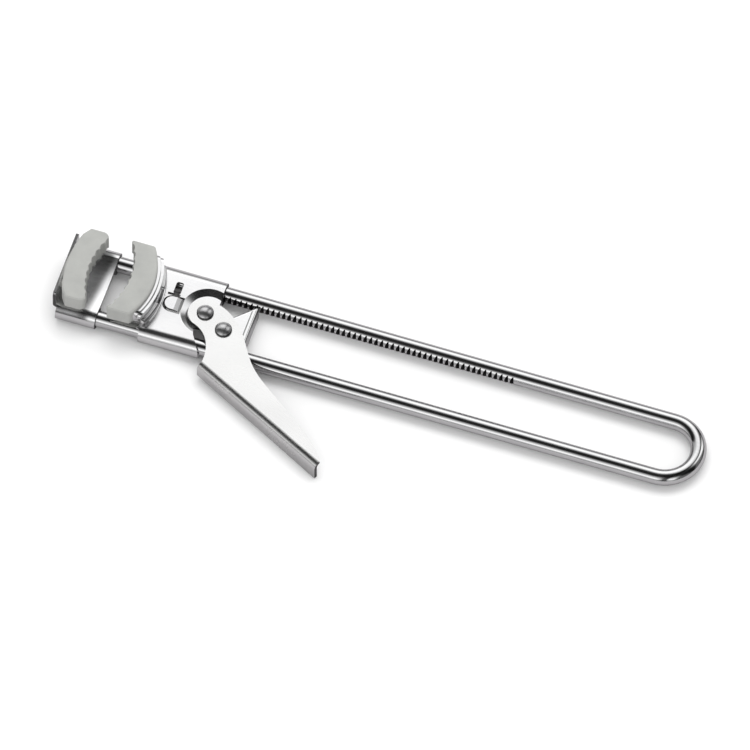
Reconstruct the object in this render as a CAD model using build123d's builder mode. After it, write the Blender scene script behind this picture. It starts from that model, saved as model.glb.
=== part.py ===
from build123d import *

import os
from math import asin, atan2, cos, degrees, hypot, pi, radians, sin, sqrt

# Lid-gripping can opener: a toothed wire handle, two padded jaws and a toggle lever with a pawl.
# The origin is the centre of the handle's U-bend, in the plane of the rods' centrelines.
# +X runs from the jaws to the bend, +Y points to the toothed leg, +Z is up. Millimetres.

# Handle rod
ROD_R = 2.75
ROD_Y = 11.4  # half the centre distance of the two legs, and the bend's centreline radius
ROD_END_X = -212.9
ROD_END_CHAMFER = 0.5
TOOTH_PITCH = 1.94
TOOTH_COUNT = 54
LAST_TOOTH_X = -57.0
# One notch of the rack: distance towards the jaws and depth, steep flank first
NOTCH = [(0, -0.2), (0, 0), (0.35, 1.0), (0.6, 1.0), (1.45, 0), (1.45, -0.2)]

# Sheet metal
SHEET = 1.0
CRIMP_GAP = 0.03  # bracket round the rod ends, squeezed tight
SLIDE_GAP = 0.1  # carriage round the rods, free to slide
CURL_OPEN = (90, 158)  # degrees round the rod where the rolled edge leaves a gap

# Fixed jaw
BRACKET_X = (-213.0, -199.0)
BRACKET_SAG = 1.2  # the plate hangs this much lower midway between the rods
END_WALL_X = -214.5  # outer face
END_WALL_Y = 12.75
END_WALL_TOP = 10.5
END_WALL_BEND = 1.4  # outside radius
END_WALL_CORNER_R = 0.8

# Pads
PAD_Z = (7.2, 13.5)
PAD_Y = 14.3
PAD_EDGE = 0.45
PAD_TIP_R = 2.4  # rounding of the fixed pad's tips
PAD_HEEL_R = 1.2  # rounding where the moving pad's ends meet its back
PAD_NOSE_R = 0.6  # rounding where they meet its gripping face
SHOULDER = (2.0, 2.8)  # slanted shoulders at the fixed pad's back, along X and Y
FIXED_BACK_R = 37.6
GRIP_R = 27.0  # both gripping faces curve round a lid
GRIP_X = (-205.3, -191.3)  # middle of the fixed and of the moving gripping face
FLUTE_R = 1.9
FLUTE_PITCH = 3.0
FLUTE_COUNT = 9
FLUTE_DEPTH = 0.65
LUG_R = 1.3
LUG_Y = 7.0
LUG_Z = 8.75
LUG_LENGTH = 3.5
PAD_GAP = 0.05  # between a pad with its lugs and the sheet that carries it

# Moving jaw and carriage
BACK_X = -209.0  # centre of the arcs that the jaw's curved walls follow
BACK_R = 26.4  # back of the moving pad
LAYER_GAP = 0.1
WALL_Y = 12.8
WALL_CORNER_R = 2.0
WING = (9.0, 8.0)  # beyond this Y both walls stop this high, clear of the rods
WING_R = 1.2
JAW_WALL_TOP = 11.8
CARRIAGE_X = (-183.5, -160.8)
CARRIAGE_WALL_TOP = 11.0
FOLD_R = 1.2  # inside radius where the carriage's wall is bent up
RIB_R = 0.95  # ribs pressed into the carriage's wall
RIB_Y = (3.6, 11.2)
RIB_Z = 6.2
DISH_CENTRE = (-163.6, 0.6)
DISH_R = (6.8, 9.3)  # floor and rim
DISH_DEPTH = 1.0
DISH_WALL = 0.5  # step between the dish's upper and under cone, along X
CORNER_CUT = [(-166.3, -6.3), (-159.0, -5.4), (-159.0, -17.0), (-160.9, -17.0), (-165.6, -9.3)]
ROD_WINDOW = (-175.9, 6.45)
ROD_WINDOW_SIZE = (2.6, 4.9)
ROD_WINDOW_R = 0.8
SLIT = (-176.6, 3.7)  # it joins the rod window to the tongue's window
SLIT_SIZE = (4.4, 0.9)
FOOT_Y = 7.5
FOOT_X = (-186.0, -179.0)
TONGUE_Y = 2.5
TONGUE_X = (-178.6, -173.4)
TONGUE_SHEET = 0.8
TONGUE_RAISE = 0.65  # above the carriage's plate
TONGUE_SLOPE = (1.5, 0.5)  # bevel of its free end, along X and Z
TONGUE_WINDOW_GAP = 0.85

# Toggle lever and pawl
LEVER_PIVOT = (-164.2, -0.2)
PAWL_PIVOT = (-156.2, -4.7)
PIN_R = 1.6
PIN_GAP = 0.05
DOME_R = 2.9
DOME_RIM = 0.4
DOME_HEIGHT = 1.4
LEVER_SHEET = 1.2
LEVER_Z = 3.0  # underside
LEVER_HEAD_R = 5.8
LEVER_TIP = (-109.6, -42.6)
BEND_START = (-159.14, -18.79)
BEND_END = (-108.64, -44.29)
LEVER_FAR_EDGE = [(-155.4, 1.7), (-149.3, -4.6), (-142.8, -14.6), (-133.5, -22.8), (-118.0, -34.4)]
LEVER_NEAR_EDGE = [(-159.1, -17.0), (-160.2, -11.6)]
LEVER_HEAD_SPAN = (50, 190)  # start and sweep of the head's round edge, degrees
LEVER_TIP_R = 1.5
FLANGE_BEND = 1.3  # inside radius
FLANGE_LOW = (-1.8, -3.8)  # lower edge at the pivot end and at the tip
PAWL_SHEET = 1.2
PAWL_Z = 1.7  # underside of the plate
PAWL_BOSS_R = 4.2
PAWL_BEND_R = 0.9  # outside radius where the flange is bent down
NOSE_TIP = (-148.3, 8.4)
PAWL_LOW = -2.3
PAWL_TAIL_Y = -7.0

# Return spring and washers
WIRE_R = 0.4
COIL_R = 2.7
COIL_PITCH = 0.85
COIL_TURNS = 2.245
COIL_DROP = 0.7  # from the pawl's plate down to the coil's upper leg
HOOK_LEG = 4.5
HOOK_SINK = 0.2  # the hooked end stops this far below the pawl's top face
REST_LEG = 11.0
WASHER = 0.5
WASHER_R = 3.4
TAIL_GAP = 0.15  # from the coil down to the pawl rivet's washer
TAIL_HEAD = 0.9
TAIL_HEAD_R = 2.6

lever_top = LEVER_Z + LEVER_SHEET
nose_r = PAWL_SHEET / 2
pin_hole_r = PIN_R + PIN_GAP
crown_r = (DOME_R**2 + DOME_HEIGHT**2) / (2 * DOME_HEIGHT)
slide_bore = ROD_R + SLIDE_GAP
plate_top = slide_bore + SHEET
dish_under = slide_bore - DISH_DEPTH
jaw_wall_r = BACK_R + SHEET
carriage_wall_r = jaw_wall_r + LAYER_GAP
spring_top = PAWL_Z - COIL_DROP
tongue_top = plate_top + TONGUE_RAISE
coil_low = spring_top - 2 * WIRE_R - COIL_PITCH * COIL_TURNS


def rolled_section(bore_r, sag=0.0):
    """Draws a plate that lies on both rods, sagging between them, with its long edges rolled round."""
    with Locations((-ROD_Y, 0), (ROD_Y, 0)):
        Circle(bore_r + SHEET)
        Circle(bore_r, mode=Mode.SUBTRACT)
    reach = 2 * (bore_r + SHEET)
    for side in (-1, 1):
        rays = [(side * (ROD_Y + reach * cos(radians(a))), reach * sin(radians(a))) for a in CURL_OPEN]
        with BuildLine() as gap:
            Polyline((side * ROD_Y, 0), *rays, close=True)
        make_face(gap.edges(), mode=Mode.SUBTRACT)
    if not sag:
        with Locations((0, bore_r + SHEET / 2)):
            Rectangle(2 * ROD_Y, SHEET)
        return
    with BuildLine() as plate:
        ThreePointArc((-ROD_Y, bore_r + SHEET), (0, bore_r + SHEET - sag), (ROD_Y, bore_r + SHEET))
        Line((ROD_Y, bore_r + SHEET), (ROD_Y, bore_r))
        ThreePointArc((ROD_Y, bore_r), (0, bore_r - sag), (-ROD_Y, bore_r))
        Line((-ROD_Y, bore_r), (-ROD_Y, bore_r + SHEET))
    make_face(plate.edges())


def grip_flutes(middle_x, side):
    """Draws the flutes of a gripping face; side is +1 when the face looks towards +X."""
    centre_x = middle_x + side * GRIP_R
    orbit = GRIP_R - FLUTE_R + FLUTE_DEPTH
    step = FLUTE_PITCH / GRIP_R
    for i in range(FLUTE_COUNT):
        turn = (i - (FLUTE_COUNT - 1) / 2) * step
        with Locations((centre_x - side * orbit * cos(turn), orbit * sin(turn))):
            Circle(FLUTE_R)


def upright(point):
    """Vertical plane through a point of the plan; its first axis is X."""
    return Plane(origin=(*point, 0), x_dir=(1, 0, 0), z_dir=(0, -1, 0))


def arc_x(centre_x, radius, y, side):
    """X of an arc round (centre_x, 0) at height y, on the side given by +1 or -1."""
    return centre_x + side * sqrt(radius**2 - y**2)


def tongue_outline(grow):
    """Draws the tongue's D shape, round towards the jaws, grown by a gap on every side."""
    half = TONGUE_Y + grow
    back, front = TONGUE_X[0] - grow, TONGUE_X[1] + grow
    with BuildLine() as outline:
        Polyline((back + half, half), (front, half), (front, -half), (back + half, -half))
        ThreePointArc((back + half, -half), (back, 0), (back + half, half))
    make_face(outline.edges())


def curved_wall(inner_r, half_width):
    """Draws, in plan, a sheet wall that follows an arc about the moving jaw's centre."""
    with Locations((BACK_X, 0)):
        Circle(inner_r + SHEET)
        Circle(inner_r, mode=Mode.SUBTRACT)
    with Locations((BACK_X + BACK_R, 0)):
        Rectangle(BACK_R, 2 * half_width, mode=Mode.INTERSECT)


def wing_cuts(low_z):
    """Draws, in YZ, what is cleared at both ends of a curved wall to leave its raised wings."""
    for side in (-1, 1):
        with Locations((side * WING[0], low_z)):
            Rectangle(WALL_Y, WING[1] - low_z, align=(Align.MIN if side > 0 else Align.MAX, Align.MIN))
    inner = [v for v in vertices() if abs(abs(v.X) - WING[0]) < WING_R and v.Y > low_z + WING_R]
    fillet(inner, WING_R)


def rivet_section(seat, tail_z):
    """Draws half of a rivet: domed crown on the seat, shank down to tail_z and a flat tail head."""
    crown = seat + DOME_RIM + DOME_HEIGHT
    tail_low = tail_z - TAIL_HEAD
    with BuildLine() as outline:
        Polyline((0, crown), (0, tail_low), (TAIL_HEAD_R, tail_low), (TAIL_HEAD_R, tail_z), (PIN_R, tail_z))
        Polyline((PIN_R, tail_z), (PIN_R, seat), (DOME_R, seat), (DOME_R, seat + DOME_RIM))
        RadiusArc((DOME_R, seat + DOME_RIM), (0, crown), -crown_r)
    make_face(outline.edges())


def washer_section():
    """Draws a flat washer for a rivet's shank."""
    Circle(WASHER_R)
    Circle(pin_hole_r, mode=Mode.SUBTRACT)


# ---------------------------------------------------------------- handle rod
with BuildPart() as handle_rod:
    with BuildLine() as rod_path:
        Line((ROD_END_X, ROD_Y), (0, ROD_Y))
        ThreePointArc((0, ROD_Y), (ROD_Y, 0), (0, -ROD_Y))
        Line((0, -ROD_Y), (ROD_END_X, -ROD_Y))
    with BuildSketch(Plane(origin=(ROD_END_X, ROD_Y, 0), z_dir=(1, 0, 0))):
        Circle(ROD_R)
    sweep(path=rod_path.line)
    chamfer(edges().filter_by(GeomType.CIRCLE).group_by(Axis.X)[0], ROD_END_CHAMFER)
    # Rack: each notch has a steep flank towards the bend and a ramp towards the jaws.
    crest_y = ROD_Y - ROD_R
    with BuildSketch(Plane.XY.offset(-ROD_R)):
        for i in range(TOOTH_COUNT):
            x = LAST_TOOTH_X - i * TOOTH_PITCH
            with BuildLine():
                Polyline(*[(x - run, crest_y + depth) for run, depth in NOTCH], close=True)
            make_face()
    extrude(amount=2 * ROD_R, mode=Mode.SUBTRACT)

# ---------------------------------------------------------------- fixed jaw
crimp_bore = ROD_R + CRIMP_GAP
bracket_top = crimp_bore + SHEET
wall_low = crimp_bore - BRACKET_SAG / 2
wall_inner_x = END_WALL_X + SHEET
fixed_back_x = wall_inner_x + PAD_GAP
fixed_grip_x, moving_grip_x = GRIP_X

with BuildPart() as fixed_jaw_bracket:
    with BuildSketch(Plane.YZ.offset(BRACKET_X[0])):
        rolled_section(crimp_bore, BRACKET_SAG)
    extrude(amount=BRACKET_X[1] - BRACKET_X[0])
    # End wall, bent up from the plate: its side view is extruded across the rods.
    with BuildSketch(Plane.XZ):
        with BuildLine():
            Polyline(
                (BRACKET_X[0], wall_low),
                (END_WALL_X, wall_low),
                (END_WALL_X, END_WALL_TOP),
                (wall_inner_x, END_WALL_TOP),
                (wall_inner_x, bracket_top),
                (BRACKET_X[0], bracket_top),
                close=True,
            )
        make_face()
        fillet(vertices().sort_by_distance((END_WALL_X, wall_low))[0], END_WALL_BEND)
    extrude(amount=END_WALL_Y, both=True)
    fillet(edges().filter_by(Axis.X).group_by(Axis.Z)[-1], END_WALL_CORNER_R)
    # Holes for the pad's moulded lugs.
    with BuildSketch(Plane.YZ.offset(END_WALL_X)):
        with Locations((-LUG_Y, LUG_Z), (LUG_Y, LUG_Z)):
            Circle(LUG_R + PAD_GAP)
    extrude(amount=SHEET, mode=Mode.SUBTRACT)

with BuildPart() as fixed_jaw_pad:
    shoulder_y = PAD_Y - SHOULDER[1]
    shoulder_x = arc_x(fixed_back_x + FIXED_BACK_R, FIXED_BACK_R, shoulder_y, -1)
    tip_x = arc_x(fixed_grip_x + GRIP_R, GRIP_R, PAD_Y, -1)
    with BuildSketch(Plane.XY.offset(PAD_Z[0])):
        with BuildLine():
            ThreePointArc((shoulder_x, -shoulder_y), (fixed_back_x, 0), (shoulder_x, shoulder_y))
            Polyline((shoulder_x, shoulder_y), (shoulder_x + SHOULDER[0], PAD_Y), (tip_x, PAD_Y))
            ThreePointArc((tip_x, PAD_Y), (fixed_grip_x, 0), (tip_x, -PAD_Y))
            Polyline((tip_x, -PAD_Y), (shoulder_x + SHOULDER[0], -PAD_Y), (shoulder_x, -shoulder_y))
        make_face()
        fillet(vertices().group_by(Axis.X)[-1], PAD_TIP_R)
    extrude(amount=PAD_Z[1] - PAD_Z[0])
    chamfer(faces().sort_by(Axis.Z)[-1].edges(), PAD_EDGE)
    with BuildSketch(Plane.XY.offset(PAD_Z[0])):
        grip_flutes(fixed_grip_x, 1)
    extrude(amount=PAD_Z[1] - PAD_Z[0], mode=Mode.SUBTRACT)
    with BuildSketch(Plane.YZ.offset(END_WALL_X)):
        with Locations((-LUG_Y, LUG_Z), (LUG_Y, LUG_Z)):
            Circle(LUG_R)
    extrude(amount=LUG_LENGTH)

# ---------------------------------------------------------------- moving jaw
foot_z = slide_bore - LAYER_GAP - SHEET
tongue_root_x = TONGUE_X[0] + TONGUE_SHEET / 2

with BuildPart() as moving_jaw_plate:
    # Upright wall that follows the pad's back.
    with BuildSketch(Plane.XY.offset(slide_bore + LAYER_GAP)):
        curved_wall(BACK_R, WALL_Y)
    extrude(amount=JAW_WALL_TOP - slide_bore - LAYER_GAP)
    fillet(edges().filter_by(GeomType.LINE).group_by(Axis.Z)[-1], WALL_CORNER_R)
    with BuildSketch(Plane.YZ.offset(BACK_X)):
        wing_cuts(slide_bore)
    extrude(amount=jaw_wall_r + WALL_Y, mode=Mode.SUBTRACT)
    # Neck and foot: the wall goes down between the rods and turns back under the carriage.
    with BuildSketch(Plane.XY.offset(foot_z)):
        curved_wall(BACK_R, FOOT_Y)
    extrude(amount=SHEET + 2 * LAYER_GAP)
    with BuildSketch(Plane.XY.offset(foot_z)):
        with Locations((FOOT_X[0], 0)):
            Rectangle(FOOT_X[1] - FOOT_X[0], 2 * FOOT_Y, align=(Align.MIN, Align.CENTER))
            Rectangle(tongue_root_x - FOOT_X[0], 2 * TONGUE_Y, align=(Align.MIN, Align.CENTER))
        with Locations((BACK_X, 0)):
            Circle(jaw_wall_r - SHEET / 2, mode=Mode.SUBTRACT)
    extrude(amount=SHEET)
    # Tongue: it comes up through a window in the carriage and lies flat towards the lever.
    with BuildSketch(Plane.XY.offset(foot_z)):
        tongue_outline(0)
        with Locations((TONGUE_X[1] + TONGUE_SHEET, 0)):
            Rectangle(
                TONGUE_X[1] - TONGUE_X[0],
                2 * TONGUE_Y,
                align=(Align.MAX, Align.CENTER),
                mode=Mode.SUBTRACT,
            )
    extrude(amount=tongue_top - foot_z)
    with BuildSketch(Plane.XY.offset(tongue_top - TONGUE_SHEET)):
        tongue_outline(0)
    extrude(amount=TONGUE_SHEET)
    tongue_end = edges().filter_by(Axis.Y).sort_by_distance((TONGUE_X[1], 0, tongue_top))[0]
    chamfer(tongue_end, TONGUE_SLOPE[0], TONGUE_SLOPE[1])
    # Holes for the pad's moulded lugs.
    with BuildSketch(Plane.YZ.offset(BACK_X)):
        with Locations((-LUG_Y, LUG_Z), (LUG_Y, LUG_Z)):
            Circle(LUG_R + PAD_GAP)
    extrude(amount=jaw_wall_r + SHEET, mode=Mode.SUBTRACT)

with BuildPart() as moving_jaw_pad:
    back_x = arc_x(BACK_X, BACK_R - PAD_GAP, PAD_Y, 1)
    tip_x = arc_x(moving_grip_x - GRIP_R, GRIP_R, PAD_Y, 1)
    with BuildSketch(Plane.XY.offset(PAD_Z[0])):
        with BuildLine():
            ThreePointArc((back_x, -PAD_Y), (BACK_X + BACK_R - PAD_GAP, 0), (back_x, PAD_Y))
            Line((back_x, PAD_Y), (tip_x, PAD_Y))
            ThreePointArc((tip_x, PAD_Y), (moving_grip_x, 0), (tip_x, -PAD_Y))
            Line((tip_x, -PAD_Y), (back_x, -PAD_Y))
        make_face()
        fillet(vertices().group_by(Axis.X)[-1], PAD_HEEL_R)
        fillet(vertices().group_by(Axis.X)[0], PAD_NOSE_R)
    extrude(amount=PAD_Z[1] - PAD_Z[0])
    chamfer(faces().sort_by(Axis.Z)[-1].edges(), PAD_EDGE)
    with BuildSketch(Plane.XY.offset(PAD_Z[0])):
        grip_flutes(moving_grip_x, -1)
    extrude(amount=PAD_Z[1] - PAD_Z[0], mode=Mode.SUBTRACT)
    lug_end_x = arc_x(BACK_X, jaw_wall_r, LUG_Y + LUG_R, 1)
    with BuildSketch(Plane.YZ.offset(lug_end_x)):
        with Locations((-LUG_Y, LUG_Z), (LUG_Y, LUG_Z)):
            Circle(LUG_R)
    extrude(amount=-LUG_LENGTH)

# ---------------------------------------------------------------- carriage
with BuildPart() as carriage_plate:
    with BuildSketch(Plane.YZ.offset(CARRIAGE_X[0])):
        rolled_section(slide_bore)
    extrude(amount=CARRIAGE_X[1] - CARRIAGE_X[0])
    # The plate's front edge follows the jaw's wall and is bent up behind it.
    with BuildSketch(Plane.XY.offset(slide_bore)):
        with Locations((BACK_X, 0)):
            Circle(carriage_wall_r)
    extrude(amount=SHEET, mode=Mode.SUBTRACT)
    with BuildSketch(Plane.XY.offset(slide_bore)):
        curved_wall(carriage_wall_r, WALL_Y)
    extrude(amount=CARRIAGE_WALL_TOP - slide_bore)
    fillet(edges().filter_by(GeomType.LINE).group_by(Axis.Z)[-1], WALL_CORNER_R)
    with BuildSketch(Plane.YZ.offset(BACK_X)):
        wing_cuts(plate_top)
    extrude(amount=jaw_wall_r + WALL_Y, mode=Mode.SUBTRACT)
    # Inside radius of the bend between plate and wall.
    rib_orbit = carriage_wall_r + SHEET
    wall_axis = Axis((BACK_X, 0, 0), (0, 0, 1))
    wing_turn = asin(WING[0] / rib_orbit)
    ray = (cos(wing_turn), -sin(wing_turn), 0)
    with BuildSketch(Plane(origin=(BACK_X, 0, plate_top), x_dir=ray, z_dir=(ray[1], -ray[0], 0))):
        with Locations((rib_orbit, 0)):
            Rectangle(FOLD_R, FOLD_R, align=(Align.MIN, Align.MIN))
        with Locations((rib_orbit + FOLD_R, FOLD_R)):
            Circle(FOLD_R, mode=Mode.SUBTRACT)
    revolve(axis=wall_axis, revolution_arc=degrees(2 * wing_turn))
    # Two half-round ribs stiffen the bend.
    rib_turns = [asin(y / rib_orbit) for y in RIB_Y]
    for start in (rib_turns[0], -rib_turns[1]):
        ray = (cos(start), sin(start), 0)
        with BuildSketch(Plane(origin=(BACK_X, 0, RIB_Z), x_dir=ray, z_dir=(ray[1], -ray[0], 0))):
            with Locations((rib_orbit, 0)):
                Circle(RIB_R)
        revolve(axis=wall_axis, revolution_arc=degrees(rib_turns[1] - rib_turns[0]))
    for turn in (*rib_turns, -rib_turns[0], -rib_turns[1]):
        with Locations((BACK_X + rib_orbit * cos(turn), rib_orbit * sin(turn), RIB_Z)):
            Sphere(RIB_R)
    # Dish round the lever's pivot.
    dish_axis = Axis((*DISH_CENTRE, 0), (0, 0, 1))
    floor_r, rim_r = DISH_R
    with BuildSketch(upright(DISH_CENTRE)):
        with BuildLine():
            Polyline((0, slide_bore), (floor_r, slide_bore), (rim_r, plate_top), (0, plate_top), close=True)
        make_face()
    revolve(axis=dish_axis, mode=Mode.SUBTRACT)
    with BuildSketch(upright(DISH_CENTRE)):
        with BuildLine():
            Polyline((0, dish_under), (floor_r - DISH_WALL, dish_under), (rim_r - DISH_WALL, slide_bore),
                     (0, slide_bore), close=True)
        make_face()
    revolve(axis=dish_axis)
    # Straight rear edge, and the near corner cut away where the lever passes.
    with BuildSketch(Plane.XY.offset(-plate_top)):
        with Locations((CARRIAGE_X[1], DISH_CENTRE[1])):
            Rectangle(rim_r, 2 * rim_r, align=(Align.MIN, Align.CENTER))
        with BuildLine():
            Polyline(*CORNER_CUT, close=True)
        make_face()
    extrude(amount=2 * plate_top, mode=Mode.SUBTRACT)
    # Openings: window over the rod, relief slit, tongue window and pivot hole.
    with BuildSketch(Plane.XY.offset(dish_under)):
        with Locations(ROD_WINDOW):
            RectangleRounded(*ROD_WINDOW_SIZE, ROD_WINDOW_R)
        with Locations(SLIT):
            Rectangle(*SLIT_SIZE)
        tongue_outline(TONGUE_WINDOW_GAP)
        with Locations(LEVER_PIVOT):
            Circle(pin_hole_r)
    extrude(amount=plate_top - dish_under, mode=Mode.SUBTRACT)

# ---------------------------------------------------------------- lever
bend_run = (BEND_END[0] - BEND_START[0], BEND_END[1] - BEND_START[1])
bend_length = hypot(*bend_run)
along = (bend_run[0] / bend_length, bend_run[1] / bend_length, 0)
outward = (along[1], -along[0], 0)
bend_outer_r = FLANGE_BEND + LEVER_SHEET

with BuildPart() as lever:
    with BuildSketch(Plane.XY.offset(LEVER_Z)):
        with BuildLine():
            head = CenterArc(LEVER_PIVOT, LEVER_HEAD_R, *LEVER_HEAD_SPAN)
            Spline(head @ 0, *LEVER_FAR_EDGE, LEVER_TIP)
            Line(LEVER_TIP, BEND_END)
            Line(BEND_END, BEND_START)
            Spline(BEND_START, *LEVER_NEAR_EDGE, head @ 1)
        make_face()
        fillet(vertices().sort_by_distance(LEVER_TIP)[0], LEVER_TIP_R)
    extrude(amount=LEVER_SHEET)
    # Flange bent down along the outer edge: a quarter-round bend and an upright leg.
    bend_corner = (*BEND_START, LEVER_Z - FLANGE_BEND)
    with BuildSketch(Plane(origin=bend_corner, x_dir=outward, z_dir=(-along[0], -along[1], 0))):
        Circle(bend_outer_r)
        Circle(FLANGE_BEND, mode=Mode.SUBTRACT)
        Rectangle(bend_outer_r, bend_outer_r, align=(Align.MIN, Align.MIN), mode=Mode.INTERSECT)
        with Locations((bend_outer_r, 0)):
            Rectangle(LEVER_SHEET, LEVER_Z - FLANGE_BEND - FLANGE_LOW[1], align=(Align.MAX, Align.MAX))
    extrude(amount=-bend_length)
    # The flange's lower edge slopes down towards the tip.
    with BuildSketch(Plane(origin=(*BEND_START, 0), x_dir=along, z_dir=outward)):
        with BuildLine():
            Polyline((0, FLANGE_LOW[0]), (bend_length, FLANGE_LOW[1]), (0, FLANGE_LOW[1]), close=True)
        make_face()
    extrude(amount=2 * bend_outer_r, mode=Mode.SUBTRACT)
    with BuildSketch(Plane.XY.offset(LEVER_Z)):
        with Locations(LEVER_PIVOT, PAWL_PIVOT):
            Circle(pin_hole_r)
    extrude(amount=LEVER_SHEET, mode=Mode.SUBTRACT)

# ---------------------------------------------------------------- spring coil
# Left-hand torsion coil round the pawl's rivet. It starts at its lower leg, and its upper end points
# so that the upper leg passes just beside the lever rivet's washer.
rivet_reach = hypot(LEVER_PIVOT[0] - PAWL_PIVOT[0], LEVER_PIVOT[1] - PAWL_PIVOT[1])
rivet_bearing = atan2(LEVER_PIVOT[1] - PAWL_PIVOT[1], LEVER_PIVOT[0] - PAWL_PIVOT[0])
upper_turn = rivet_bearing + asin((WASHER_R + WIRE_R + PIN_GAP - COIL_R) / rivet_reach) + radians(90)
lower_turn = upper_turn + COIL_TURNS * 2 * pi
# A helix always starts on its frame's X axis, so it is turned about Z once it is made.
coil = Helix(COIL_PITCH, COIL_PITCH * COIL_TURNS, COIL_R, lefthand=True)
coil = Pos(*PAWL_PIVOT, coil_low + WIRE_R) * Rot(0, 0, degrees(lower_turn)) * coil
hook_at = coil @ 0 - coil % 0 * HOOK_LEG

# ---------------------------------------------------------------- pawl
nose_at = (NOSE_TIP[0], NOSE_TIP[1] - nose_r)
with BuildSketch() as pawl_corners:
    with Locations(PAWL_PIVOT):
        Circle(PAWL_BOSS_R)
    with Locations(nose_at, (NOSE_TIP[0], PAWL_TAIL_Y)):
        Circle(nose_r)

with BuildPart() as pawl:
    with BuildSketch(Plane.XY.offset(PAWL_Z)):
        make_hull(pawl_corners.sketch.edges())
        with Locations(PAWL_PIVOT):
            Circle(pin_hole_r, mode=Mode.SUBTRACT)
        with Locations((hook_at.X, hook_at.Y)):
            Circle(WIRE_R + PIN_GAP, mode=Mode.SUBTRACT)
    extrude(amount=PAWL_SHEET)
    # Flange bent down at the back: its far edge is the nose that pushes on the rack.
    with BuildSketch(Plane.XY.offset(PAWL_LOW)):
        with Locations((NOSE_TIP[0], (nose_at[1] + PAWL_TAIL_Y) / 2)):
            SlotCenterToCenter(nose_at[1] - PAWL_TAIL_Y, 2 * nose_r, rotation=90)
    extrude(amount=PAWL_Z + PAWL_SHEET - PAWL_LOW)
    bend_line = (NOSE_TIP[0] + nose_r, (nose_at[1] + PAWL_TAIL_Y) / 2, PAWL_Z + PAWL_SHEET)
    fillet(edges().sort_by_distance(bend_line)[0], PAWL_BEND_R)

# ---------------------------------------------------------------- rivets and washers
lever_tail_z = dish_under - WASHER - 2 * PIN_GAP
pawl_tail_z = coil_low - TAIL_GAP - WASHER - PIN_GAP

with BuildPart() as lever_rivet:
    with BuildSketch(upright(LEVER_PIVOT)):
        rivet_section(lever_top + PIN_GAP, lever_tail_z)
    revolve(axis=Axis((*LEVER_PIVOT, 0), (0, 0, 1)))

with BuildPart() as lever_washer:
    with BuildSketch(Plane.XY.offset(lever_tail_z + PIN_GAP)):
        with Locations(LEVER_PIVOT):
            washer_section()
    extrude(amount=WASHER)

with BuildPart() as pawl_rivet:
    with BuildSketch(upright(PAWL_PIVOT)):
        rivet_section(lever_top + PIN_GAP, pawl_tail_z)
    revolve(axis=Axis((*PAWL_PIVOT, 0), (0, 0, 1)))

with BuildPart() as pawl_washer:
    with BuildSketch(Plane.XY.offset(pawl_tail_z + PIN_GAP)):
        with Locations(PAWL_PIVOT):
            washer_section()
    extrude(amount=WASHER)

# ---------------------------------------------------------------- return spring
# The upper leg bears on the lever rivet's washer, the lower leg is hooked up into the pawl.
with BuildPart() as return_spring:
    with BuildLine() as wire_path:
        Line(hook_at, coil @ 0)
        add(coil)
        Line(coil @ 1, coil @ 1 + coil % 1 * REST_LEG)
    with BuildSketch(Plane(origin=hook_at, z_dir=coil % 0)):
        Circle(WIRE_R)
    sweep(path=wire_path.line)
    with Locations(hook_at):
        Sphere(WIRE_R)
    with BuildSketch(Plane(origin=hook_at)):
        Circle(WIRE_R)
    extrude(amount=PAWL_Z + PAWL_SHEET - HOOK_SINK - hook_at.Z)

# ---------------------------------------------------------------- files
pieces = {
    "handle_rod": handle_rod,
    "fixed_jaw_bracket": fixed_jaw_bracket,
    "fixed_jaw_pad": fixed_jaw_pad,
    "carriage_plate": carriage_plate,
    "moving_jaw_plate": moving_jaw_plate,
    "moving_jaw_pad": moving_jaw_pad,
    "lever_rivet": lever_rivet,
    "lever_washer": lever_washer,
    "lever": lever,
    "pawl_rivet": pawl_rivet,
    "pawl_washer": pawl_washer,
    "return_spring": return_spring,
    "pawl": pawl,
}
os.makedirs("parts", exist_ok=True)
for label, piece in pieces.items():
    piece.part.label = label
    export_step(piece.part, f"parts/{label}.step")
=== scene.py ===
import math

import bpy
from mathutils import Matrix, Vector
from mathutils.bvhtree import BVHTree


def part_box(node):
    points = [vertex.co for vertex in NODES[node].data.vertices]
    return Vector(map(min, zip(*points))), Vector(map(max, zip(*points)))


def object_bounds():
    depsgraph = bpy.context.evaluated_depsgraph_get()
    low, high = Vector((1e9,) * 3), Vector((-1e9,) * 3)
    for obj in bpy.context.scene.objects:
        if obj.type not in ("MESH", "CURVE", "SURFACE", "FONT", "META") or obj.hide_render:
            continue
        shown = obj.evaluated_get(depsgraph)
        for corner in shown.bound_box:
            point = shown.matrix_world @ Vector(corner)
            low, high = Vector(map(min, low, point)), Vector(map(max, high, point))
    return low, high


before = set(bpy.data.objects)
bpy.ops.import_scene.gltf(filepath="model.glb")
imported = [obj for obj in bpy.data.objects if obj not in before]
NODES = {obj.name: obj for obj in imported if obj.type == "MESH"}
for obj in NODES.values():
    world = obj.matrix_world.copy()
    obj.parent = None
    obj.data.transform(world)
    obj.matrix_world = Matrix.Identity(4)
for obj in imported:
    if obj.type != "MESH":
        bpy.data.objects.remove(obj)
cad_low, cad_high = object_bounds()

# Sizes are in metres. +X points to the U-bend, +Y to the toothed leg and +Z out of the face that
# carries the lever.

# The camera stands to the near right of the object, well above it.
CAMERA_AZIMUTH = math.radians(18.45)
CAMERA_ELEVATION = math.radians(58.0)
CAMERA_DISTANCE = 1.5
VIEW_WIDTH = 0.2542
VIEW_CENTRE = Vector((-0.1026, -0.00305, 0.0))

# The rack is cut into one leg of the rod.
ROD_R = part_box("handle_rod")[1].z
RACK_LEG_Y = 0.0114
RACK_MIDDLE_X = -0.1100
RACK_HALF_LENGTH = 0.0545
NOTCH_MARGIN = 0.00004

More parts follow.
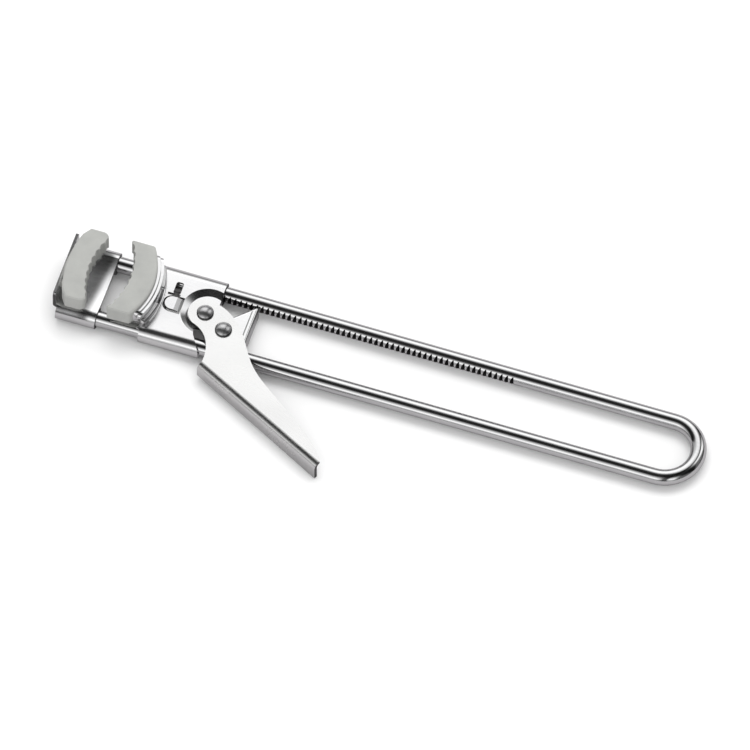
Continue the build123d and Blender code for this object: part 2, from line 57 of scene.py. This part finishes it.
# The sweep starts on a line that slants across the bracket's plate, near its open edge.
SWEEP_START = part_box("fixed_jaw_bracket")[1].x - 0.0006
SWEEP_SLANT = 0.06
SWEEP_EASE = 0.0026
SWEEP_SLOPE = 0.29

# The pawl's crease runs beside its flange.
CREASE_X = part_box("pawl")[1].x - 0.0020
CREASE_WIDTH = 0.0004
CREASE_SLOPE = 0.21

# Painted shade, a dark steel finish: the sheets' cut edges, the jaw plate's foot and the domed
# rivets' rims.
SHEET_THICKNESS = {
    "fixed_jaw_bracket": 0.0010,
    "carriage_plate": 0.0010,
    "moving_jaw_plate": 0.0010,
    "lever": 0.0012,
    "pawl": 0.0012,
}
CUT_DEPTH_IN_THICKNESSES = 1.5
CUT_MAX_NORMAL_Z = 0.3
RAY_START_DEPTH = 0.00001
RIB_HEIGHTS = {"carriage_plate": (0.0038, 0.0074)}
FOOT_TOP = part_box("moving_jaw_plate")[0].z + 0.00115
DOME_RIM_NORMAL_Z = 0.70
DARK_SLOT = 1

# Edges that are rounded.
EDGE_ROUND = 0.00022
EDGE_MIN_ANGLE = math.radians(40.0)

# Surfaces. Most of a noise's values lie in its span, and a ramp's new steps start in its middle.
EVEN = (1.0, 1.0, 1.0)
NOISE_SPAN = (0.3, 0.7)
RAMP_MIDDLE = 0.5
CLOUD_SCALE = 60.0
WAVE_SCALE = 45.0
WAVE_DEPTH = 0.0005
GRAIN_DEPTH = 0.00002
SHEET_GREYS = ((0.79, 0.79, 0.80), (0.90, 0.90, 0.90))
SHEET_ROUGHNESS = (0.13, 0.22)
# Painted shade: the rack's notches are coloured near black for the shade inside them.
NOTCH_SHADE_COLOUR = (0.02, 0.02, 0.02)
NOTCH_ROUGHNESS = 0.5
PAD_GREYS = ((0.34, 0.344, 0.33), (0.39, 0.394, 0.376))
PAD_ROUGHNESS = (0.52, 0.68)
PAD_CLOUD_SCALE = 180.0
PAD_GRAIN_SCALE = 2600.0
PAD_GRAIN_STRENGTH = 0.35
PAD_GRAIN_DEPTH = 0.00003

# The studio.
FLOOR_HALF = 4.0
FLOOR_DROP = 0.00005
FLOOR_GREYS = ((0.86, 0.86, 0.86), (0.88, 0.88, 0.88))
FLOOR_CLOUD_SCALE = 8.0
FLOOR_IN_MIRROR = (0.467, 0.456, 0.465)
ROOM_LIGHT = 1.02
SOFTBOX_PLACE = Vector((-0.15, 0.42, 1.10))
SOFTBOX_TARGET = Vector((-0.1, 0.0, 0.0))
SOFTBOX_SIZE = (1.0, 0.6)
SOFTBOX_WATTS = 6.0

# What the polished steel mirrors, by the angle from straight overhead towards the far side, in
# degrees, and brightness: white panels on both sides with a dark gap overhead between them.
MIRRORED_ACROSS = [
    (-88.0, 0.30),
    (-80.0, 0.48),
    (-73.0, 0.85),
    (-65.0, 1.35),
    (-56.0, 1.05),
    (-46.0, 0.62),
    (-37.0, 0.34),
    (-30.0, 0.09),
    (-24.0, 0.012),
    (0.0, 0.015),
    (9.0, 0.06),
    (15.0, 0.32),
    (21.0, 0.98),
    (30.0, 1.10),
    (42.0, 1.32),
    (54.0, 1.36),
    (64.0, 0.80),
    (74.0, 0.30),
    (88.0, 0.10),
]
# How bright that is along X, from straight left at -1 to straight right at 1: the panels stop
# right of the middle, and one more panel stands beyond them.
MIRRORED_ALONG = [
    (-1.0, 0.25),
    (-0.75, 0.55),
    (-0.45, 1.0),
    (-0.02, 1.0),
    (0.10, 0.60),
    (0.20, 0.09),
    (0.34, 0.07),
    (0.42, 0.95),
    (0.60, 0.95),
    (0.70, 0.15),
    (1.0, 0.12),
]


# ---------------------------------------------------------------- shader steps

def new_material(name):
    material = bpy.data.materials.new(name)
    material.use_nodes = True
    tree = material.node_tree
    return material, tree, principled(tree)


def principled(tree):
    return next(n for n in tree.nodes if n.type == "BSDF_PRINCIPLED")


def node(tree, kind, **values):
    """A new node; each value goes to the input of that name, or else to the node's setting."""
    made = tree.nodes.new(kind)
    for key, value in values.items():
        if key in made.inputs.keys():
            made.inputs[key].default_value = value
        else:
            setattr(made, key, value)
    return made


def plug(tree, value, socket):
    """Gives a socket a number, a colour or another node's output."""
    if isinstance(value, bpy.types.NodeSocket):
        tree.links.new(value, socket)
    elif isinstance(value, tuple):
        socket.default_value = (*value, 1.0)
    else:
        socket.default_value = value


def maths(tree, operation, *values):
    """One arithmetic step on numbers or other nodes' outputs."""
    step = node(tree, "ShaderNodeMath", operation=operation)
    for socket, value in zip(step.inputs, values):
        plug(tree, value, socket)
    return step.outputs[0]


def ranged(tree, value, low, high, span=NOISE_SPAN):
    """Maps a value from its span to low..high."""
    spread = node(tree, "ShaderNodeMapRange")
    spread.inputs["From Min"].default_value, spread.inputs["From Max"].default_value = span
    spread.inputs["To Min"].default_value = low
    spread.inputs["To Max"].default_value = high
    tree.links.new(value, spread.inputs["Value"])
    return spread.outputs["Result"]


def mixed(tree, kind, factor, first, second, blend_type="MIX"):
    """Mixes two colours, of kind RGBA, or two numbers, of kind VALUE."""
    data_type = "RGBA" if kind == "RGBA" else "FLOAT"
    mix = node(tree, "ShaderNodeMix", data_type=data_type, blend_type=blend_type)
    tree.links.new(factor, mix.inputs["Factor"])
    ends = [i for i in mix.inputs if i.type == kind and i.name in ("A", "B")]
    for socket, value in zip(ends, (first, second)):
        plug(tree, value, socket)
    return next(o for o in mix.outputs if o.type == kind)


def split_axes(tree, vector):
    axes = node(tree, "ShaderNodeSeparateXYZ")
    tree.links.new(vector, axes.inputs["Vector"])
    return axes.outputs["X"], axes.outputs["Y"], axes.outputs["Z"]


def surface_point(tree):
    """The surface point's X, Y and Z in the row frame."""
    return split_axes(tree, node(tree, "ShaderNodeTexCoord").outputs["Object"])


def stretched_noise(tree, stretch, scale, detail):
    """Noise in the row frame, drawn out along the axes with a small stretch."""
    place = node(tree, "ShaderNodeTexCoord")
    scaled = node(tree, "ShaderNodeMapping")
    scaled.inputs["Scale"].default_value = stretch
    tree.links.new(place.outputs["Object"], scaled.inputs["Vector"])
    noise = node(tree, "ShaderNodeTexNoise", Scale=scale, Detail=detail, Roughness=0.6)
    tree.links.new(scaled.outputs["Vector"], noise.inputs["Vector"])
    return noise.outputs["Fac"]


def bumped(tree, shader, *layers):
    """Stacks bumps, given as (height, strength, distance), from the coarsest to the finest."""
    normal = None
    for height, strength, distance in layers:
        bump = node(tree, "ShaderNodeBump", Strength=strength, Distance=distance)
        tree.links.new(height, bump.inputs["Height"])
        if normal:
            tree.links.new(normal, bump.inputs["Normal"])
        normal = bump.outputs["Normal"]
    tree.links.new(normal, shader.inputs["Normal"])


def grey_ramp(tree, value, span, steps):
    """Brightness that follows a value across its span, through (value, brightness) steps."""
    low, high = span
    ramp = node(tree, "ShaderNodeValToRGB")
    tree.links.new(ranged(tree, value, 0.0, 1.0, span), ramp.inputs["Fac"])
    elements = ramp.color_ramp.elements
    while len(elements) < len(steps):
        elements.new(RAMP_MIDDLE)
    for element, (place, brightness) in zip(elements, steps):
        element.position = (place - low) / (high - low)
        element.color = (brightness, brightness, brightness, 1.0)
    return ramp.outputs["Color"]


# ---------------------------------------------------------------- materials

def metal(name, greys, roughness, grain, grain_scale, grain_strength, wave_depth=0.0, relief=None):
    """Steel with a drawn or brushed grain, cloudy handling marks and, where asked, slow waves.

    The grain is given as its stretch along X, Y and Z. The relief is a function that adds the
    shader steps for a height of its own.
    """
    material, tree, shader = new_material(name)
    shader.inputs["Metallic"].default_value = 1.0
    streaks = stretched_noise(tree, grain, grain_scale, detail=6.0)
    clouds = stretched_noise(tree, EVEN, CLOUD_SCALE, detail=3.0)
    mean_marks = maths(tree, "MULTIPLY", maths(tree, "ADD", streaks, clouds), 0.5)
    tree.links.new(ranged(tree, mean_marks, *roughness), shader.inputs["Roughness"])
    tint = mixed(tree, "RGBA", ranged(tree, mean_marks, 0.0, 1.0), *greys)
    tree.links.new(tint, shader.inputs["Base Color"])
    waves = stretched_noise(tree, EVEN, WAVE_SCALE, detail=1.0)
    layers = [(waves, 1.0, wave_depth), (streaks, grain_strength, GRAIN_DEPTH)]
    if relief:
        layers.insert(0, (relief(tree), 1.0, 1.0))
    bumped(tree, shader, *layers)
    return material


def sheet_steel(name, greys=SHEET_GREYS, roughness=SHEET_ROUGHNESS, relief=None):
    """Satin sheet, slightly wavy from rolling and pressing."""
    return metal(
        name,
        greys,
        roughness,
        grain=(2.0, 12.0, 2.0),
        grain_scale=150.0,
        grain_strength=0.10,
        wave_depth=WAVE_DEPTH,
        relief=relief,
    )


def bracket_sweep(tree):
    """The height of a sweep up towards the bracket's end wall, which the CAD plate doesn't have."""
    x, y, _ = surface_point(tree)
    start = maths(tree, "MULTIPLY_ADD", y, SWEEP_SLANT, SWEEP_START)
    run = maths(tree, "MAXIMUM", maths(tree, "SUBTRACT", start, x), 0.0)
    eased = maths(tree, "MULTIPLY_ADD", run, run, SWEEP_EASE**2)
    return maths(tree, "MULTIPLY", maths(tree, "SQRT", eased), SWEEP_SLOPE)


def pawl_crease(tree):
    """The height of a fine crease along the pawl's bend, which the CAD pawl doesn't have."""
    x, _, _ = surface_point(tree)
    run = maths(tree, "MAXIMUM", maths(tree, "SUBTRACT", x, CREASE_X), 0.0)
    return maths(tree, "MULTIPLY", maths(tree, "MINIMUM", run, CREASE_WIDTH), -CREASE_SLOPE)


def paint_notch_shade(material):
    """The rack's notches, the steel that lies inside the rod's round surface, are rough and painted
    black as shade.
    """
    tree = material.node_tree
    shader = principled(tree)
    x, y, z = surface_point(tree)
    across = maths(tree, "SUBTRACT", y, RACK_LEG_Y)
    across_squared = maths(tree, "MULTIPLY", across, across)
    reach_squared = maths(tree, "ADD", across_squared, maths(tree, "MULTIPLY", z, z))
    is_inside = maths(tree, "LESS_THAN", reach_squared, (ROD_R - NOTCH_MARGIN) ** 2)
    is_rack = maths(tree, "COMPARE", x, RACK_MIDDLE_X, RACK_HALF_LENGTH)
    is_notch = maths(tree, "MULTIPLY", is_inside, is_rack)
    for socket, kind, value in (
        (shader.inputs["Base Color"], "RGBA", NOTCH_SHADE_COLOUR),
        (shader.inputs["Roughness"], "VALUE", NOTCH_ROUGHNESS),
    ):
        polished = socket.links[0].from_socket
        tree.links.new(mixed(tree, kind, is_notch, polished, value), socket)


def pad_rubber():
    """Matt moulded grey rubber with a fine grain and slight darkening in patches."""
    material, tree, shader = new_material("grey_rubber")
    clouds = stretched_noise(tree, EVEN, PAD_CLOUD_SCALE, detail=4.0)
    tint = mixed(tree, "RGBA", ranged(tree, clouds, 0.0, 1.0), *PAD_GREYS)
    tree.links.new(tint, shader.inputs["Base Color"])
    tree.links.new(ranged(tree, clouds, *PAD_ROUGHNESS), shader.inputs["Roughness"])
    grain = stretched_noise(tree, EVEN, PAD_GRAIN_SCALE, detail=3.0)
    bumped(tree, shader, (grain, PAD_GRAIN_STRENGTH, PAD_GRAIN_DEPTH))
    return material


def floor_paper():
    """White paper. Steel mirrors it darker than it is, as paper that ends soon would."""
    material, tree, shader = new_material("white_floor")
    clouds = stretched_noise(tree, EVEN, FLOOR_CLOUD_SCALE, detail=2.0)
    tint = mixed(tree, "RGBA", clouds, *FLOOR_GREYS)
    in_mirror = node(tree, "ShaderNodeLightPath").outputs["Is Glossy Ray"]
    dimmed = mixed(tree, "RGBA", in_mirror, tint, FLOOR_IN_MIRROR, blend_type="MULTIPLY")
    tree.links.new(dimmed, shader.inputs["Base Color"])
    shader.inputs["Roughness"].default_value = 0.9
    shader.inputs["Specular IOR Level"].default_value = 0.1
    return material


ROD = metal(
    "polished_rod_steel",
    greys=((0.70, 0.70, 0.71), (0.82, 0.82, 0.82)),
    roughness=(0.07, 0.13),
    grain=(1.0, 14.0, 14.0),
    grain_scale=160.0,
    grain_strength=0.10,
)
paint_notch_shade(ROD)
SHEET = sheet_steel("satin_sheet_steel")
BRACKET_STEEL = sheet_steel("bracket_steel", relief=bracket_sweep)
PAWL_STEEL = sheet_steel("pawl_steel", relief=pawl_crease)
LEVER_STEEL = sheet_steel(
    "lever_steel",
    greys=((0.83, 0.83, 0.83), (0.93, 0.93, 0.92)),
    roughness=(0.20, 0.30),
)
# A dark steel finish that paints shade on cut edges, in openings and under parts.
SHADE_STEEL = metal(
    "painted_shade_steel",
    greys=((0.07, 0.07, 0.07), (0.16, 0.16, 0.16)),
    roughness=(0.34, 0.48),
    grain=(2.0, 2.0, 12.0),
    grain_scale=300.0,
    grain_strength=0.30,
)
RIVET = metal(
    "rivet_steel",
    greys=((0.58, 0.58, 0.59), (0.70, 0.70, 0.70)),
    roughness=(0.24, 0.36),
    grain=(6.0, 6.0, 6.0),
    grain_scale=200.0,
    grain_strength=0.10,
)
SPRING = metal(
    "spring_steel",
    greys=((0.42, 0.42, 0.43), (0.56, 0.56, 0.56)),
    roughness=(0.20, 0.36),
    grain=(8.0, 8.0, 8.0),
    grain_scale=200.0,
    grain_strength=0.12,
)
PAD = pad_rubber()

FINISHES = {
    "handle_rod": ROD,
    "fixed_jaw_bracket": BRACKET_STEEL,
    "carriage_plate": SHEET,
    "moving_jaw_plate": SHEET,
    "lever": LEVER_STEEL,
    "pawl": PAWL_STEEL,
    "lever_rivet": RIVET,
    "pawl_rivet": RIVET,
    "lever_washer": RIVET,
    "pawl_washer": RIVET,
    "return_spring": SPRING,
    "fixed_jaw_pad": PAD,
    "moving_jaw_pad": PAD,
}
for name, finish in FINISHES.items():
    NODES[name].data.materials.clear()
    NODES[name].data.materials.append(finish)


# ---------------------------------------------------------------- painted shade and rounded edges

def darken(name, is_dark):
    """Gives a node's faces that pass the test the dark finish of painted shade."""
    mesh = NODES[name].data
    if SHADE_STEEL.name not in mesh.materials:
        mesh.materials.append(SHADE_STEEL)
    for face in mesh.polygons:
        if is_dark(face):
            face.material_index = DARK_SLOT


def cut_edge_test(name):
    """Finds a sheet's cut edges: behind such a face lies more steel than the sheet is thick.

    Faces at the heights of pressed ribs are left out, since ribs are deep without being cut.
    """
    mesh = NODES[name].data
    corners = [v.co for v in mesh.vertices]
    solid = BVHTree.FromPolygons(corners, [list(p.vertices) for p in mesh.polygons])
    ribs_low, ribs_high = RIB_HEIGHTS.get(name, (math.inf, math.inf))

    def is_cut_edge(face):
        if abs(face.normal.z) > CUT_MAX_NORMAL_Z or ribs_low < face.center.z < ribs_high:
            return False
        start = face.center - face.normal * RAY_START_DEPTH
        depth = solid.ray_cast(start, -face.normal)[3]
        return depth is not None and depth > CUT_DEPTH_IN_THICKNESSES * SHEET_THICKNESS[name]

    return is_cut_edge


# Painted shade: the sheets' cut edges are dark, for the shade in openings and along the edges.
for name in SHEET_THICKNESS:
    darken(name, cut_edge_test(name))
# Painted shade: the jaw plate's foot, in the shade under the carriage, is dark.
darken("moving_jaw_plate", lambda face: face.center.z < FOOT_TOP)
# Painted shade: the rivets' steep rims are dark, for the shade round the domes' feet.
for name in ("lever_rivet", "pawl_rivet"):
    darken(name, lambda face: abs(face.normal.z) < DOME_RIM_NORMAL_Z)

# Rounds the few sharp edges that lie inside a patch of the mesh. Patches aren't joined where they
# meet, so the other edges stay sharp, and the other sheets have no edge that this would round.
for name in ("carriage_plate", "pawl"):
    bevel = NODES[name].modifiers.new("edge_break", "BEVEL")
    bevel.width = EDGE_ROUND
    bevel.segments = 2
    bevel.limit_method = "ANGLE"
    bevel.angle_limit = EDGE_MIN_ANGLE
    # The rounded faces take the dark finish: painted dark edge lines, for shade and dark reflections
    # along the edges.
    bevel.material = DARK_SLOT


# ---------------------------------------------------------------- floor, light and camera

def studio_world():
    """Soft even light on matt surfaces, and the panels above for mirror reflections."""
    world = bpy.data.worlds.new("studio")
    world.use_nodes = True
    tree = world.node_tree
    room = next(n for n in tree.nodes if n.type == "BACKGROUND")
    output = next(n for n in tree.nodes if n.type == "OUTPUT_WORLD")
    x, y, z = split_axes(tree, node(tree, "ShaderNodeTexCoord").outputs["Generated"])
    lean = maths(tree, "ARCTAN2", y, z)
    lean_span = (math.radians(-90.0), math.radians(90.0))
    lean_steps = [(math.radians(angle), brightness) for angle, brightness in MIRRORED_ACROSS]
    across = grey_ramp(tree, lean, lean_span, lean_steps)
    along = grey_ramp(tree, x, (-1.0, 1.0), MIRRORED_ALONG)
    panels = node(tree, "ShaderNodeBackground")
    tree.links.new(maths(tree, "MULTIPLY", across, along), panels.inputs["Color"])
    room.inputs["Color"].default_value = (1.0, 1.0, 1.0, 1.0)
    room.inputs["Strength"].default_value = ROOM_LIGHT
    mix = node(tree, "ShaderNodeMixShader")
    tree.links.new(node(tree, "ShaderNodeLightPath").outputs["Is Glossy Ray"], mix.inputs[0])
    tree.links.new(room.outputs["Background"], mix.inputs[1])
    tree.links.new(panels.outputs["Background"], mix.inputs[2])
    tree.links.new(mix.outputs[0], output.inputs["Surface"])
    return world


def placed(name, data, place=Vector(), target=None):
    """A new object in the scene, turned to look at its target if it has one."""
    made = bpy.data.objects.new(name, data)
    bpy.context.scene.collection.objects.link(made)
    made.location = place
    if target is not None:
        made.rotation_mode = "QUATERNION"
        made.rotation_quaternion = (target - place).to_track_quat("-Z", "Y")
    return made


floor_z = cad_low.z - FLOOR_DROP
floor_corners = [
    (x * FLOOR_HALF, y * FLOOR_HALF, floor_z) for x, y in ((-1, -1), (1, -1), (1, 1), (-1, 1))
]
floor_mesh = bpy.data.meshes.new("studio_floor")
floor_mesh.from_pydata(floor_corners, [], [(0, 1, 2, 3)])
floor_mesh.materials.append(floor_paper())
floor = placed("studio_floor", floor_mesh)

bpy.context.scene.world = studio_world()

softbox = bpy.data.lights.new("far_softbox", "AREA")
softbox.shape = "RECTANGLE"
softbox.size, softbox.size_y = SOFTBOX_SIZE
softbox.energy = SOFTBOX_WATTS
far_softbox = placed("far_softbox", softbox, SOFTBOX_PLACE, SOFTBOX_TARGET)
far_softbox.visible_glossy = False

camera_data = bpy.data.cameras.new("camera")
camera_data.type = "ORTHO"
camera_data.ortho_scale = VIEW_WIDTH
camera_data.clip_start = 0.01
camera_data.clip_end = 20.0
toward_camera = Vector((
    math.sin(CAMERA_AZIMUTH) * math.cos(CAMERA_ELEVATION),
    -math.cos(CAMERA_AZIMUTH) * math.cos(CAMERA_ELEVATION),
    math.sin(CAMERA_ELEVATION),
))
camera_place = VIEW_CENTRE + toward_camera * CAMERA_DISTANCE
bpy.context.scene.camera = placed("camera", camera_data, camera_place, VIEW_CENTRE)

bpy.context.scene.view_settings.view_transform = "Standard"
